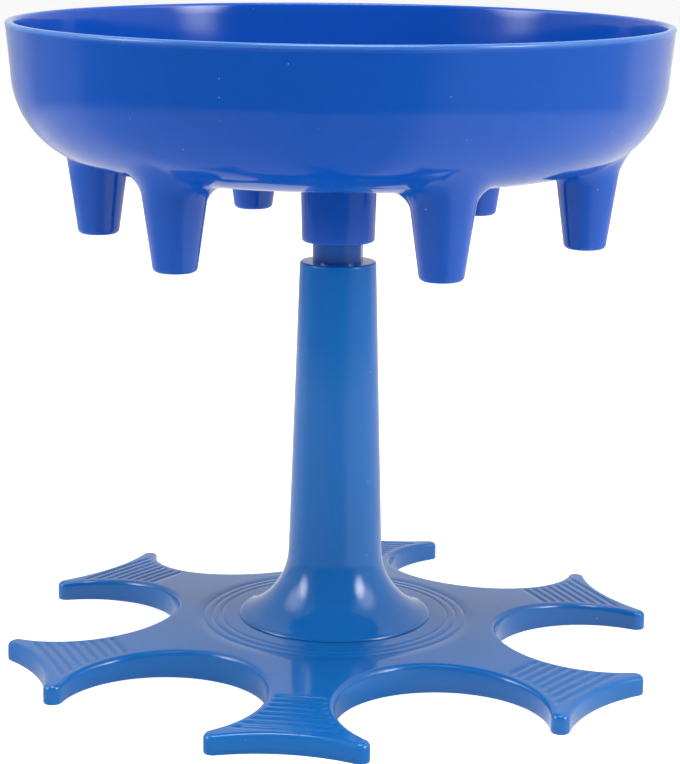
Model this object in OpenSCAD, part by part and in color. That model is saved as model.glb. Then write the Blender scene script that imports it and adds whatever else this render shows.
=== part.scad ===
// Party shot dispenser: a pouring bowl with six nozzles stands on a column above a
// six-armed plate, and each nozzle hangs over the middle of one of the plate's glass seats.
// The bowl lifts straight off a flatted spindle, and bowl and spindle turn in the column.
// Millimetres, +Z up. The origin is on the column's axis, in the plane that the plate stands on.

/* [Bowl] */
// Diameter over the bead at the rim
rim_d = 166.2; // [150:0.2:190]
// Height of the rim above the table
rim_z = 163; // [158:0.5:175]
// Height of the underside of the bowl's floor above the table
floor_z = 128; // [126:0.5:130]
// Thickness of the bowl's wall and floor
wall_t = 1.8; // [1.4:0.1:2.4]
// Outer radius of the curve from the wall into the floor
turn_r = 23; // [17:0.5:24]
// Lean of the wall from upright, in degrees
wall_lean = 4; // [2:0.5:5]
// How far the bead stands out from the wall
bead_out = 0.4; // [0.2:0.1:0.8]
// Height of the bead
bead_h = 1.4; // [1:0.1:2]
// Rise of the floor from the nozzles to the middle
crown_h = 5; // [2:0.5:7]
// Radius at which the floor begins to rise
crown_r = 46; // [38:1:48]

/* [Nozzles] */
// Number of nozzles and of glass seats
nozzle_n = 6; // [6:1:6]
// Distance of each nozzle from the axis
nozzle_ring_r = 62.4; // [60:0.2:66]
// Height of the nozzle tips above the table
nozzle_tip_z = 107.6; // [100:0.2:112]
// Outer radius of a nozzle at its tip
nozzle_tip_r = 5.2; // [4.6:0.1:6]
// Lean of the nozzle's side from upright, in degrees
nozzle_lean = 8; // [6:0.5:9]
// Rounding of the tip's edge
nozzle_round = 1.3; // [0.6:0.1:1.8]
// Radius of the pouring hole
pour_r = 2.7; // [2:0.1:2.8]
// Radius of the funnel where the hole meets the floor
funnel_r = 5.4; // [4:0.1:6]

/* [Socket and spindle] */
// Outer radius of the socket at its mouth
socket_r = 9.3; // [8.4:0.1:10]
// Height of the socket's mouth above the table
socket_z = 107.6; // [104:0.2:110]
// Radius of the spindle
spindle_r = 6.5; // [5.5:0.1:6.8]
// Distance of the spindle's flat from the axis
flat_r = 6.1; // [5:0.1:6.3]
// Height of the spindle's end, on which the bowl rests
spindle_z = 128; // [122:0.5:128]
// Radius of the shank that turns in the column
shank_r = 4.7; // [4:0.1:5]
// Running clearance round the spindle and its shank
run_gap = 0.08; // [0.03:0.01:0.1]

/* [Column] */
// Height of the column's top above the table
column_z = 102.4; // [98:0.2:103]
// Radius of the column at its top
column_top_r = 9.8; // [9:0.1:10.5]
// Radius of the column where the flare begins
column_low_r = 12.2; // [11:0.1:13]
// Radius of the flare's curve
flare_r = 18.5; // [14:0.5:20]
// Radius of the foot
foot_r = 25; // [23:0.5:27]
// Height of the foot's edge
foot_edge = 0.6; // [0.4:0.1:1.8]
// Radius of the spigot under the foot
spigot_r = 14.5; // [13:0.5:15]
// Radius of the hollow in the column
hollow_r = 8.4; // [7.6:0.1:8.5]
// Length of the bearing at the column's top
bearing_l = 28; // [20:1:32]

/* [Base plate] */
// Height of the plate's top under the column's foot
plate_z = 8.6; // [8:0.1:9.4]
// Fall of the plate's top from the foot to the arm tips
plate_fall = 3.8; // [2:0.1:4.2]
// Thickness of the plate's top
plate_t = 2; // [1.6:0.1:2.4]
// Thickness of the skirt that the plate stands on
skirt_t = 1.8; // [1.4:0.1:2.2]
// Radius of a glass seat
seat_r = 25.7; // [24:0.1:26]
// Distance of each glass seat from the axis
seat_ring_r = 68.2; // [67:0.2:69]
// Radius of the hollow curve at the end of each arm
tail_r = 43.8; // [42:0.2:46]
// Distance of that curve's centre from the axis
tail_ring_r = 124.2; // [123:0.2:126]
// Radius of the arm's corners in plan
corner_r = 2.4; // [2:0.1:3.4]
// Number of grip grooves across each arm
groove_n = 8; // [4:1:8]
// Pitch of the grip grooves
groove_pitch = 2.6; // [2.2:0.1:2.8]
// Depth of the grip grooves
groove_depth = 0.35; // [0.2:0.05:0.5]
// Distance of the first grip groove from the axis
groove_start_r = 59.4; // [58:0.5:62]
// Radius of the first ring round the foot
ring_start_r = 29.6; // [28:0.2:32]
// Pitch of the rings
ring_pitch = 2.4; // [1.6:0.1:2.8]
// Depth of the rings
ring_depth = 0.2; // [0.1:0.05:0.4]
// Number of rings round the foot
ring_n = 3; // [1:1:3]

/* [Hidden] */
$fn = 96;
eps = 0.01;

bowl_blue = "#1A49AD";
stand_blue = "#2B6CB8";
steel_grey = "#B9BDC2";

arm_step = 360 / nozzle_n;
half_step = arm_step / 2;
reach = 100;

// Bowl: where the wall and its curve into the floor meet
wall_top_r = rim_d / 2 - bead_out;
turn_z = floor_z + turn_r;
lean_rise = rim_z - bead_h - turn_z + turn_r * sin(wall_lean);
turn_centre_r = wall_top_r - lean_rise * tan(wall_lean) - turn_r * cos(wall_lean);
crown_top_r = 14;

// Nozzle: its side leans out in two stages before it runs into the floor
flare_in_lean = 20;
flare_out_lean = 32;
flare_in_z = floor_z - 5.2;
flare_out_z = floor_z - 1.9;
nozzle_top_z = floor_z + 8;
funnel_h = 3.2;

// Socket
socket_lean = 1.5;
socket_top_z = floor_z + crown_h;
socket_round = 0.5;

// Spindle, washer and screw
spindle_chamfer = 0.8;
core_r = 3.4;
core_h = 16;
end_play = 0.3;
shank_end_z = column_z - bearing_l - end_play;
washer_r = 6.8;
washer_t = 1;
screw_r = 1.5;
screw_l = 14;
screw_head_r = 3;
screw_head_h = 2;

// Column
flare_centre_r = column_low_r + flare_r;
flare_z = plate_z + foot_edge + sqrt(pow(flare_r, 2) - pow(flare_centre_r - foot_r, 2));
column_round = 0.5;
spigot_z = 1.2;

// Base plate
corner_in = corner_r * 0.97;
plate_edge_r = norm(corner_centre()) + corner_r;
plate_slope = plate_fall / (plate_edge_r - foot_r);
collar_t = 2;
rib_t = 1.4;
groove_w_r = 0.9;
ring_w_r = 0.6;
groove_margin = 2.4;

function plate_top(r) = plate_z - plate_slope * (r - foot_r);

// Centre of the seat beside an arm that points along +X
function seat_centre() = seat_ring_r * [cos(half_step), sin(half_step)];

// Centre of the rounded corner between that seat and the hollow end of the arm
function corner_centre() =
    let (s = seat_centre(), t = [tail_ring_r, 0], d = norm(t - s), u = (t - s) / d,
         a = (pow(seat_r + corner_in, 2) - pow(tail_r + corner_in, 2) + d * d) / (2 * d),
         h = sqrt(pow(seat_r + corner_in, 2) - a * a))
    s + a * u + h * [u[1], -u[0]];

function towards(a, b, l) = a + l * (b - a) / norm(b - a);

module on_ring(r, start = 0) {
    for (k = [0:nozzle_n - 1])
        rotate(start + k * arm_step - 90) translate([r, 0, 0]) children();
}

// ---- Base plate ----

// Section of the plate from inner_r to outer_r, its sloping top lowered by drop
module plate_section(inner_r, outer_r, bottom_z, drop) {
    polygon([[inner_r, bottom_z], [outer_r, bottom_z], [outer_r, plate_top(outer_r) - drop],
             [foot_r + 0.4, plate_z - drop], [inner_r, plate_z - drop]]);
}

// Seats and arm ends, each made larger by wall
module open_spaces(wall) {
    on_ring(seat_ring_r, half_step)
        translate([0, 0, -2]) cylinder(r = seat_r + wall, h = plate_z + 4);
    on_ring(tail_ring_r)
        translate([0, 0, -2]) cylinder(r = tail_r + wall, h = plate_z + 4);
}

// What is cut away beyond an arm's rounded corners
module corner_tools() {
    k = corner_centre();
    a = towards([0, 0], seat_centre() - k, 1);
    b = towards([0, 0], [tail_ring_r, 0] - k, 1);
    out = towards([0, 0], a + b, 3 * corner_r);
    side_l = corner_r + 2;
    on_ring(0)
        for (side = [0, 1]) mirror([0, side, 0])
            translate([k[0], k[1], -2])
                difference() {
                    linear_extrude(plate_z + 4)
                        polygon([[0, 0], side_l * a, side_l * a + out, side_l * b + out, side_l * b]);
                    translate([0, 0, -1]) cylinder(r = corner_r, h = plate_z + 6, $fn = 64);
                }
}

// Grooves across the outer part of each arm, ending short of its edges
module grip_grooves() {
    s = seat_centre();
    on_ring(0)
        difference() {
            for (i = [0:groove_n - 1]) {
                r = groove_start_r + i * groove_pitch;
                translate([r, -reach / 4, plate_top(r) + groove_w_r - groove_depth])
                    rotate([-90, 0, 0]) cylinder(r = groove_w_r, h = reach / 2, $fn = 32);
            }
            for (side = [-1, 1])
                translate([s[0], side * s[1], -1]) cylinder(r = seat_r + groove_margin, h = 20);
        }
}

// Rings in the plate's top, round the column's foot
module foot_rings() {
    for (i = [0:ring_n - 1]) {
        r = ring_start_r + i * ring_pitch;
        rotate_extrude()
            translate([r, plate_top(r) + ring_w_r - ring_depth]) circle(ring_w_r, $fn = 32);
    }
}

// Hollows under the plate, between its skirt, its collar and its ribs
module pockets() {
    difference() {
        rotate_extrude()
            plate_section(spigot_r + collar_t, plate_edge_r - corner_r - 1, -1, plate_t);
        open_spaces(skirt_t);
        on_ring(0)
            translate([0, -rib_t / 2, -2]) cube([reach, rib_t, plate_z + 4]);
        on_ring(0, half_step)
            translate([0, -rib_t / 2, -2]) cube([reach, rib_t, plate_z + 4]);
    }
}

module base_plate() {
    color(stand_blue)
    difference() {
        rotate_extrude() plate_section(spigot_r, plate_edge_r + 1, 0, 0);
        open_spaces(0);
        corner_tools();
        pockets();
        grip_grooves();
        foot_rings();
    }
}

// ---- Column ----

module column() {
    color(stand_blue)
    rotate_extrude()
        difference() {
            union() {
                polygon([[0, plate_z], [foot_r, plate_z], [foot_r, flare_z], [column_low_r, flare_z],
                         [column_top_r, column_z - column_round],
                         [column_top_r - column_round, column_z], [0, column_z]]);
                translate([0, spigot_z]) square([spigot_r, plate_z - spigot_z]);
            }
            translate([flare_centre_r, flare_z]) circle(flare_r);
            square([hollow_r, column_z - bearing_l]);
            square([shank_r + run_gap, column_z + 1]);
        }
}

// ---- Spindle and what keeps it in the column ----

module d_shape(r, flat) {
    intersection() {
        circle(r);
        rotate(half_step + arm_step - 90) translate([-2 * r, -2 * r]) square([2 * r + flat, 4 * r]);
    }
}

module spindle() {
    color(stand_blue)
    difference() {
        union() {
            translate([0, 0, column_z]) linear_extrude(spindle_z - column_z) d_shape(spindle_r, flat_r);
            translate([0, 0, shank_end_z]) cylinder(r = shank_r, h = column_z - shank_end_z);
        }
        // bevelled end
        rotate_extrude()
            polygon([[spindle_r - spindle_chamfer, spindle_z + eps], [spindle_r + 1, spindle_z + eps],
                     [spindle_r + 1, spindle_z - spindle_chamfer - 1]]);
        // hollow in the end, and the screw's hole
        translate([0, 0, spindle_z - core_h]) cylinder(r = core_r, h = core_h + 1, $fn = 48);
        translate([0, 0, shank_end_z - 1]) cylinder(r = screw_r, h = screw_l + 1, $fn = 48);
    }
}

module retaining_washer() {
    color(steel_grey)
    translate([0, 0, shank_end_z - washer_t])
        difference() {
            cylinder(r = washer_r, h = washer_t);
            translate([0, 0, -1]) cylinder(r = screw_r, h = washer_t + 2, $fn = 48);
        }
}

module retaining_screw() {
    head_z = shank_end_z - washer_t - screw_head_h;
    slot_w = 0.8;
    color(steel_grey)
    difference() {
        union() {
            translate([0, 0, head_z]) cylinder(r = screw_head_r, h = screw_head_h, $fn = 48);
            translate([0, 0, head_z]) cylinder(r = screw_r, h = screw_head_h + washer_t + screw_l - 1, $fn = 48);
        }
        for (turn = [0, 90])
            rotate(turn) translate([-screw_head_r * 0.6, -slot_w / 2, head_z - 1])
                cube([screw_head_r * 1.2, slot_w, 2.1]);
    }
}

// ---- Bowl ----

// Half section of the bowl's solid form, drawn in by inset
module bowl_section(inset) {
    r = turn_r - inset;
    top_r = wall_top_r - inset / cos(wall_lean);
    difference() {
        union() {
            intersection() {
                translate([turn_centre_r, turn_z]) circle(r);
                translate([0, floor_z]) square([reach, turn_r - r * sin(wall_lean)]);
            }
            polygon([[0, floor_z + inset], [turn_centre_r, floor_z + inset],
                     [turn_centre_r + r * cos(wall_lean), turn_z - r * sin(wall_lean)],
                     [top_r, rim_z - bead_h], [top_r + bead_h * tan(wall_lean), rim_z + inset],
                     [0, rim_z + inset]]);
        }
        // the floor's raised middle
        polygon([[0, floor_z - 1], [crown_r, floor_z - 1], [crown_r, floor_z + inset],
                 [crown_top_r, floor_z + crown_h + inset], [0, floor_z + crown_h + inset]]);
    }
}

module bead_section() {
    round_r = bead_h / 2;
    translate([rim_d / 2 - round_r, rim_z - round_r]) circle(round_r, $fn = 48);
}

module socket_section() {
    top_r = socket_r + (socket_top_z + 1 - socket_z) * tan(socket_lean);
    polygon([[0, socket_z], [socket_r - socket_round, socket_z], [socket_r, socket_z + socket_round],
             [top_r, socket_top_z + 1], [0, socket_top_z + 1]]);
}

module nozzle_section() {
    in_r = nozzle_tip_r + (flare_in_z - nozzle_tip_z) * tan(nozzle_lean);
    out_r = in_r + (flare_out_z - flare_in_z) * tan(flare_in_lean);
    top_r = out_r + (nozzle_top_z - flare_out_z) * tan(flare_out_lean);
    side_r = nozzle_tip_r + nozzle_round * tan(nozzle_lean);
    polygon([[0, nozzle_tip_z], [side_r - nozzle_round, nozzle_tip_z],
             [side_r, nozzle_tip_z + nozzle_round], [in_r, flare_in_z], [out_r, flare_out_z],
             [top_r, nozzle_top_z], [0, nozzle_top_z]]);
    translate([side_r - nozzle_round, nozzle_tip_z + nozzle_round])
        circle(nozzle_round - eps, $fn = 48);
}

module pour_hole() {
    inner_z = floor_z + wall_t;
    translate([0, 0, nozzle_tip_z - 1]) cylinder(r = pour_r, h = 30, $fn = 48);
    translate([0, 0, inner_z - funnel_h])
        cylinder(r1 = pour_r, r2 = funnel_r, h = funnel_h, $fn = 64);
    translate([0, 0, inner_z - eps]) cylinder(r = funnel_r, h = 10, $fn = 64);
}

module dispenser_bowl() {
    bore_r = spindle_r + run_gap;
    color(bowl_blue)
    difference() {
        union() {
            difference() {
                union() {
                    rotate_extrude() {
                        bowl_section(0);
                        bead_section();
                    }
                    on_ring(nozzle_ring_r, half_step) rotate_extrude() nozzle_section();
                }
                rotate_extrude() bowl_section(wall_t);
            }
            rotate_extrude() socket_section();
        }
        on_ring(nozzle_ring_r, half_step) pour_hole();
        translate([0, 0, socket_z - 1])
            linear_extrude(spindle_z - socket_z + 1) d_shape(bore_r, flat_r + run_gap);
    }
}

base_plate();
column();
spindle();
retaining_washer();
retaining_screw();
dispenser_bowl();
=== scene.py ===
"""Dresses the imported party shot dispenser: finishes, smooth mouldings, studio and camera.

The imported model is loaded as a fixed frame. The bowl, the column and the foot plate get a
finer moulding each, modelled here to the same sizes, with the soft blends and rounded edges
of the real plastic. The spindle, its washer and its screw keep their own shapes and get a
finish. Lengths are in millimetres until a mesh is placed, and MM turns them into metres.
"""

from __future__ import annotations

import logging
import math
from collections.abc import Callable, Sequence
from dataclasses import dataclass, field
from enum import Enum
from functools import partial

import bmesh
import bpy
from mathutils import Matrix, Vector


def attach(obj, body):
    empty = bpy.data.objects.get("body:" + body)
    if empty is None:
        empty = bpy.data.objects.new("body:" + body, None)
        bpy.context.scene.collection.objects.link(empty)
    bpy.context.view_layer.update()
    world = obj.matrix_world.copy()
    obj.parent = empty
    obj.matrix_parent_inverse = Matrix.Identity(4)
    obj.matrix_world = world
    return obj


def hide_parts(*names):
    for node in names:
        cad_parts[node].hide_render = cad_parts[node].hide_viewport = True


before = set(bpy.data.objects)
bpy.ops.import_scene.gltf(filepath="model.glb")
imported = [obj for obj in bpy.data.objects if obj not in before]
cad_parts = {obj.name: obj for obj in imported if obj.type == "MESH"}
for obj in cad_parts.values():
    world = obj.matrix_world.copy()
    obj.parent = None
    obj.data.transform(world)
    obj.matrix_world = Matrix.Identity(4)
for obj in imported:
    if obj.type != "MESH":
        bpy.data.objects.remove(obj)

log = logging.getLogger("shot_dispenser")

MM = 0.001
WHITE = (1.0, 1.0, 1.0, 1.0)

Point = tuple[float, float, float]
Colour = tuple[float, float, float]
# radius and height on a half section, or a place seen from above
Flat = tuple[float, float]
# where something begins and where it ends
Span = tuple[float, float]
# a bearing in degrees and the level of light there
Level = tuple[float, float]
# gives the point of one row of a skin for each of its columns
Row = Callable[[int], Point]
# what goes into a node: another node's socket, or a value
Feed = bpy.types.NodeSocket | float | tuple[float, ...]


class Body(Enum):
    """The moving bodies that new pieces ride on."""

    STAND = "stand"
    BOWL = "bowl"


class Slot(Enum):
    """Names of two material slots, for the bowl's and the stand's plastic, which no piece here is given."""

    BOWL = "bowl_blue"
    STAND = "stand_blue"


class Mix(Enum):
    """What a mix is made of."""

    LEVELS = "FLOAT"
    COLOURS = "RGBA"


class Ray(Enum):
    """Kinds of ray that a studio surface answers in its own way."""

    CAMERA = "Is Camera Ray"
    GLOSSY = "Is Glossy Ray"
    THROUGH = "Is Transmission Ray"


# ---------------------------------------------------------------- outlines


def polar(radius: float, angle: float, centre: Flat = (0.0, 0.0)) -> Flat:
    """The point at a distance and a direction, in radians, from a centre."""
    return (centre[0] + radius * math.cos(angle), centre[1] + radius * math.sin(angle))


def direction(start: Flat, end: Flat) -> float:
    """The direction from one point to another, in radians."""
    return math.atan2(end[1] - start[1], end[0] - start[0])


def along(first: Flat, last: Flat, share: float) -> Flat:
    """The point at a share of the way from one point to another."""
    return (first[0] + (last[0] - first[0]) * share, first[1] + (last[1] - first[1]) * share)


def shares(steps: int) -> list[float]:
    """Even shares from 0 to 1, with both ends."""
    return [k / steps for k in range(steps + 1)]


def straight(first: Flat, last: Flat, steps: int) -> list[Flat]:
    """Points at even steps along a straight stretch, without the one that it begins at."""
    return [along(first, last, share) for share in shares(steps)[1:]]


def arc(centre: Flat, radius: float, first: float, last: float, steps: int) -> list[Flat]:
    """Points at even steps along an arc.

    Args:
        centre: The arc's centre.
        radius: Its radius.
        first: The direction in which it begins, in radians.
        last: The direction in which it ends.
        steps: How many stretches it has.

    Returns:
        The points, with both ends.
    """
    return [polar(radius, first + (last - first) * share, centre) for share in shares(steps)]


def bent(first: Flat, corner: Flat, last: Flat, share: float, pull: float = 0.56) -> Flat:
    """A point on the soft curve that rounds a corner.

    Args:
        first: Where the curve begins.
        corner: The corner that it rounds.
        last: Where the curve ends.
        share: How far along the curve the point is.
        pull: How near the curve comes to the corner.

    Returns:
        The point on the curve.
    """
    a, b = along(first, corner, pull), along(last, corner, pull)
    t, u = share, 1.0 - share
    return tuple(
        u**3 * first[k] + 3 * u * u * t * a[k] + 3 * u * t * t * b[k] + t**3 * last[k]
        for k in range(2)
    )


def bulge(curve: Callable[[float], Flat], share: float) -> Flat:
    """How far a curve stands off the straight line between its ends.

    Args:
        curve: Gives the curve's point for a share from 0 to 1.
        share: Where it is wanted.

    Returns:
        The way from the straight line to the curve.
    """
    on_curve, on_line = curve(share), along(curve(0.0), curve(1.0), share)
    return (on_curve[0] - on_line[0], on_curve[1] - on_line[1])


def eased(low: float, high: float, value: float) -> float:
    """A soft step from 0 at low to 1 at high."""
    t = min(max((value - low) / (high - low), 0.0), 1.0)
    return t * t * (3 - 2 * t)


# ---------------------------------------------------------------- modelling


def clear_selection() -> None:
    """Leaves edit mode and deselects everything."""
    if bpy.context.object and bpy.context.object.mode != "OBJECT":
        bpy.ops.object.mode_set(mode="OBJECT")
    bpy.ops.object.select_all(action="DESELECT")


def edit_all() -> None:
    """Enters edit mode on the active piece with all of its mesh selected."""
    bpy.ops.object.mode_set(mode="EDIT")
    bpy.ops.mesh.select_all(action="SELECT")


def woven(name: str, columns: int, rows: int, place: Callable[[int, int], Point]) -> bpy.types.Object:
    """Adds a flat grid and moves each of its vertices to its place on a curved skin.

    Args:
        name: The name of the new piece.
        columns: How many faces lie side by side.
        rows: How many faces lie above each other.
        place: Gives the point, in millimetres, for a column line and a row line.

    Returns:
        The new piece.
    """
    clear_selection()
    bpy.ops.mesh.primitive_grid_add(x_subdivisions=columns, y_subdivisions=rows, size=1.0)
    piece = bpy.context.object
    piece.name = name
    for vertex in piece.data.vertices:
        column = round((vertex.co.x + 0.5) * columns)
        row = round((vertex.co.y + 0.5) * rows)
        vertex.co = Vector(place(column, row)) * MM
    return piece


def turned(name: str, outline: Sequence[Flat], steps: int, closed: bool = False) -> bpy.types.Object:
    """Spins a half section round the Z axis, as on a lathe.

    Args:
        name: The name of the new piece.
        outline: Radius and height of each corner of the section, in millimetres.
        steps: How many faces go round.
        closed: Whether the last corner is joined to the first.

    Returns:
        The new piece.
    """
    clear_selection()
    bpy.ops.mesh.primitive_circle_add(vertices=len(outline), radius=1.0, fill_type="NOTHING")
    piece = bpy.context.object
    piece.name = name
    for vertex, (radius, height) in zip(piece.data.vertices, outline):
        vertex.co = Vector((radius, 0.0, height)) * MM
    bpy.ops.object.mode_set(mode="EDIT")
    if not closed:
        shape = bmesh.from_edit_mesh(piece.data)
        ends = {0, len(outline) - 1}
        for edge in shape.edges:
            edge.select_set({vertex.index for vertex in edge.verts} == ends)
        bmesh.update_edit_mesh(piece.data)
        bpy.ops.mesh.delete(type="EDGE")
    bpy.ops.mesh.select_all(action="SELECT")
    bpy.ops.mesh.spin(steps=steps, angle=math.tau, center=(0, 0, 0), axis=(0, 0, 1))
    bpy.ops.mesh.select_all(action="SELECT")
    bpy.ops.mesh.remove_doubles(threshold=1e-6)
    bpy.ops.object.mode_set(mode="OBJECT")
    return piece


def ringed(piece: bpy.types.Object, count: int) -> None:
    """Repeats a piece's mesh round the Z axis.

    Args:
        piece: The piece, which holds the first of the repeats.
        count: How many there are in all.
    """
    clear_selection()
    piece.select_set(True)
    bpy.context.view_layer.objects.active = piece
    edit_all()
    bpy.ops.mesh.spin(
        steps=count - 1,
        dupli=True,
        angle=math.tau * (count - 1) / count,
        center=(0, 0, 0),
        axis=(0, 0, 1),
    )
    bpy.ops.object.mode_set(mode="OBJECT")


def joined(name: str, parts: Sequence[bpy.types.Object], smooth_deg: float = 35.0) -> bpy.types.Object:
    """Joins parts into one closed moulding with its faces turned outward.

    Args:
        name: The name of the finished piece.
        parts: The parts, whose borders meet.
        smooth_deg: Edges sharper than this stay sharp.

    Returns:
        The finished piece.
    """
    clear_selection()
    for part in parts:
        part.select_set(True)
    bpy.context.view_layer.objects.active = parts[0]
    if len(parts) > 1:
        bpy.ops.object.join()
    piece = bpy.context.object
    piece.name = name
    piece.data.name = name
    edit_all()
    bpy.ops.mesh.remove_doubles(threshold=2e-6)
    bpy.ops.mesh.select_all(action="SELECT")
    bpy.ops.mesh.normals_make_consistent(inside=False)
    bpy.ops.object.mode_set(mode="OBJECT")
    bpy.ops.object.shade_smooth_by_angle(angle=math.radians(smooth_deg))
    return piece


# ---------------------------------------------------------------- node trees


class Links:
    """Adds nodes to a node tree and joins them up."""

    def __init__(self, tree: bpy.types.NodeTree) -> None:
        """Keeps the tree that the nodes go into."""
        self.tree = tree

    def feed(self, source: Feed, into: bpy.types.NodeSocket) -> None:
        """Joins a socket to an input, or gives the input its value.

        Args:
            source: The other node's socket, or the value.
            into: The input.
        """
        if isinstance(source, bpy.types.NodeSocket):
            self.tree.links.new(source, into)
        else:
            into.default_value = source

    def fill(self, node: bpy.types.Node, *feeds: Feed, **settings: object) -> None:
        """Gives a node its settings and its inputs.

        Args:
            node: The node.
            *feeds: Sockets or values for the node's first inputs, in their order.
            **settings: Node properties, or inputs by name with _ for a space.
        """
        for name, value in settings.items():
            if hasattr(node, name):
                setattr(node, name, value)
            else:
                self.feed(value, node.inputs[name.replace("_", " ")])
        for source, into in zip(feeds, node.inputs):
            self.feed(source, into)

    def add(self, kind: str, *feeds: Feed, **settings: object) -> bpy.types.Node:
        """Adds a node.

        Args:
            kind: The node's type.
            *feeds: Sockets or values for the node's first inputs, in their order.
            **settings: Node properties, or inputs by name with _ for a space.

        Returns:
            The new node.
        """
        node = self.tree.nodes.new(kind)
        self.fill(node, *feeds, **settings)
        return node

    def maths(self, operation: str, *feeds: Feed) -> bpy.types.NodeSocket:
        """The result of a sum with numbers."""
        return self.add("ShaderNodeMath", *feeds, operation=operation).outputs[0]

    def measure(self, operation: str, *feeds: Feed) -> bpy.types.NodeSocket:
        """The number that comes of vectors, such as a length."""
        return self.add("ShaderNodeVectorMath", *feeds, operation=operation).outputs["Value"]

    def share(self, value: Feed, limits: Span, soft: bool = True) -> bpy.types.NodeSocket:
        """How far a value has gone from one limit to another, held between 0 and 1.

        Args:
            value: The value's socket.
            limits: Where the share is 0 and where it is 1.
            soft: Whether it sets off and arrives gently.

        Returns:
            The share's socket.
        """
        step = self.add("ShaderNodeMapRange", value, From_Min=limits[0], From_Max=limits[1])
        if soft:
            step.interpolation_type = "SMOOTHSTEP"
        return step.outputs["Result"]

    def spread(self, value: Feed, limits: Span) -> bpy.types.NodeSocket:
        """Lays a value from 0 to 1 out between two limits."""
        step = self.add("ShaderNodeMapRange", value, To_Min=limits[0], To_Max=limits[1])
        return step.outputs["Result"]

    def mixed(self, kind: Mix, share: Feed, first: Feed, last: Feed) -> bpy.types.NodeSocket:
        """Mixes two levels or two colours, from the first at share 0 to the last at share 1."""
        node = self.add("ShaderNodeMix", data_type=kind.value, Factor=share, A=first, B=last)
        return node.outputs["Result"]

    def bump(self, height: Feed, rise: float, **settings: object) -> bpy.types.NodeSocket:
        """The normal that a height, which rises that many metres, gives to a surface."""
        node = self.add("ShaderNodeBump", Height=height, Distance=rise, **settings)
        return node.outputs["Normal"]

    def shaded(self, share: Feed, first: Feed, last: Feed) -> bpy.types.NodeSocket:
        """Mixes two shaders."""
        return self.add("ShaderNodeMixShader", share, first, last).outputs[0]

    def rays(self, *kinds: Ray) -> bpy.types.NodeSocket:
        """1 for rays of the given kinds, else 0.

        Args:
            *kinds: The kinds of ray.

        Returns:
            The answer's socket.
        """
        path = self.add("ShaderNodeLightPath").outputs
        answer = path[kinds[0].value]
        for kind in kinds[1:]:
            answer = self.maths("MAXIMUM", answer, path[kind.value])
        return answer


def blank_finish(name: str) -> tuple[bpy.types.Material, Links, bpy.types.Node]:
    """Makes a material.

    Args:
        name: The material's name.

    Returns:
        The material, its links and its Principled shader.
    """
    made = bpy.data.materials.new(name)
    made.use_nodes = True
    return made, Links(made.node_tree), made.node_tree.nodes["Principled BSDF"]


# ---------------------------------------------------------------- finishes


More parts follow.
